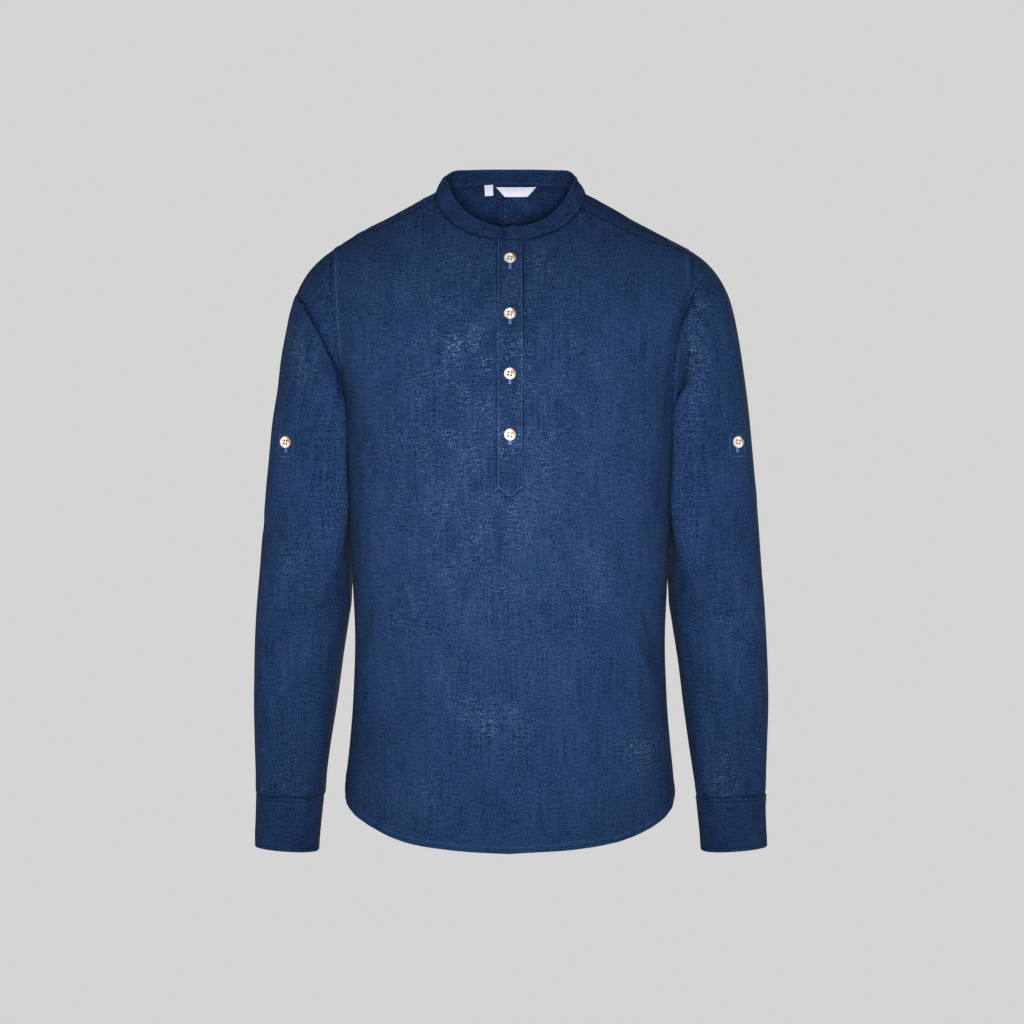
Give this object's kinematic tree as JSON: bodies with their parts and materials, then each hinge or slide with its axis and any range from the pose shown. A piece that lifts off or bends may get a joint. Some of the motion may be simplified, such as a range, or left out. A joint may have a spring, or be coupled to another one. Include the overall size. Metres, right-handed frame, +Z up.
{
  "type": "mandarin collar shirt",
  "caption": "Long-sleeved popover shirt with a low standing band collar, a short pointed button placket, a yoke, buttoned cuffs and a curved hem, in its worn form.",
  "frame": {"origin": "on the centre line, midway between the two points where the collar seam meets the shoulders, where a wearer's neck and shoulders hold the shirt", "axes": "+Z up along the body, -Y out of the front, +X towards the wearer's left sleeve"},
  "size_m": [0.5754, 0.2389, 0.7725],
  "materials": {
    "cloth": "dark blue slubby linen and cotton, plain weave, matt",
    "button": "pearly off-white with a brown streak, polished",
    "label": "bare woven satin, pale"
  },
  "bodies": {
    "root": {"front": "cloth", "back": "cloth", "yoke": "cloth", "collar_band": "cloth", "placket_over": "cloth", "placket_under": "cloth", "sleeve_left": "cloth", "sleeve_right": "cloth", "cuff_left": "cloth", "cuff_right": "cloth", "sleeve_placket_left": "cloth", "sleeve_placket_right": "cloth", "neck_label": "label", "size_label": "label", "button_front_1": "button", "button_front_2": "button", "button_front_3": "button", "button_front_4": "button", "button_sleeve_left": "button", "button_sleeve_right": "button", "button_cuff_left": "button", "button_cuff_right": "button"}
  },
  "joints": []
}
